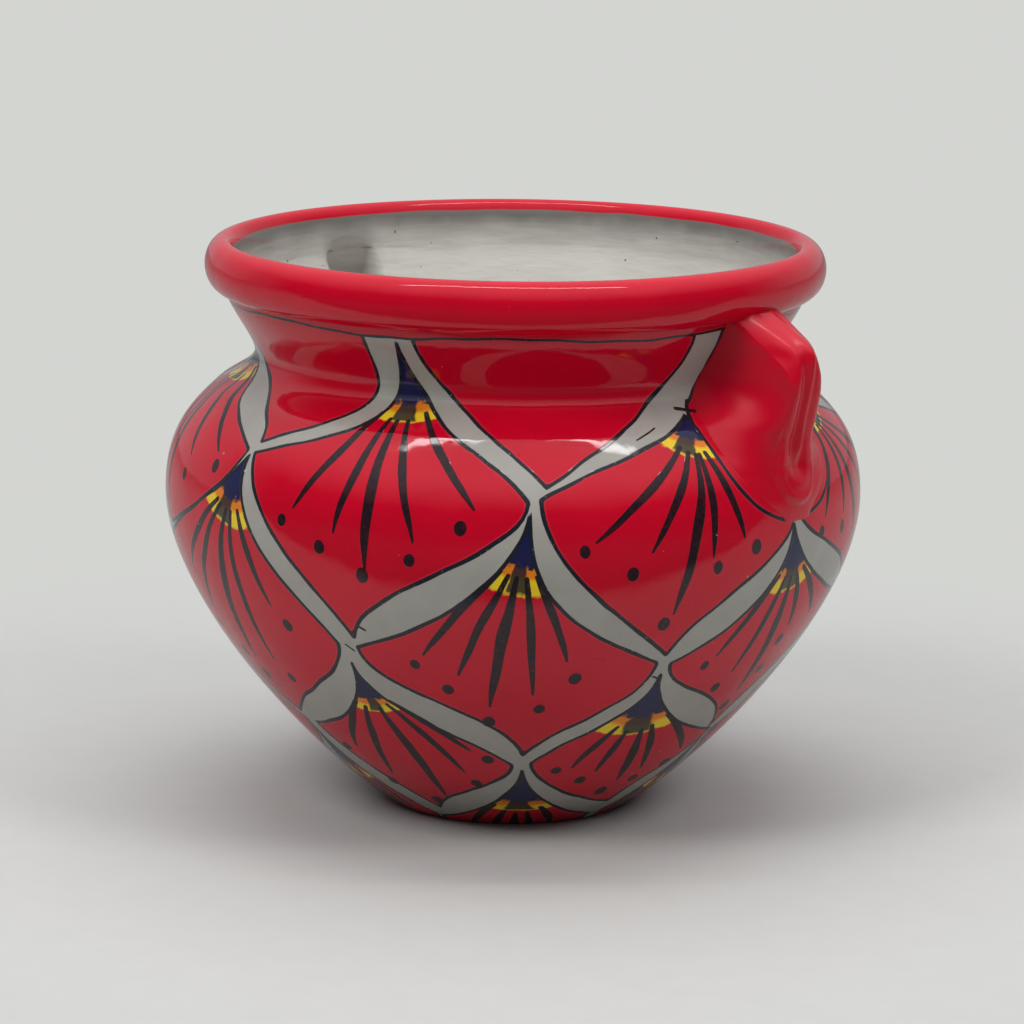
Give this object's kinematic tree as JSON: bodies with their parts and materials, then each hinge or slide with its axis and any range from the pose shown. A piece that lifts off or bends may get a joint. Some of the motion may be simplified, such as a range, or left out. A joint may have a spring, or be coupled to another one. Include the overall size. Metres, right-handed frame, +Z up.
{
  "type": "talavera planter",
  "caption": "Round-bellied glazed earthenware planter with a rolled rim, a short flared neck, closed ear handles and a drain hole in its flat base.",
  "frame": {"origin": "centre of the flat underside, on the surface that the planter stands on", "axes": "+Z up along the turned axis; +X towards the side of the right ear, and +Y square to it; each ear is set 6 degrees from the X axis towards +Y, as the picture shows them not quite opposite"},
  "size_m": [0.3426, 0.33, 0.27],
  "materials": {
    "bare_clay": "unglazed fired red earthenware, matte",
    "painted_glaze": "glossy red glaze with a painted lattice of grey-white bands outlined in black",
    "red_glaze": "glossy plain red glaze"
  },
  "bodies": {
    "root": {"base_slab": "bare_clay", "lower_wall": "painted_glaze", "shoulder_wall": "painted_glaze", "neck_collar": "painted_glaze", "rim_roll": "red_glaze", "ear_right": "red_glaze", "ear_left": "red_glaze", "ear_strap_right": "red_glaze", "ear_strap_left": "red_glaze"}
  },
  "joints": []
}
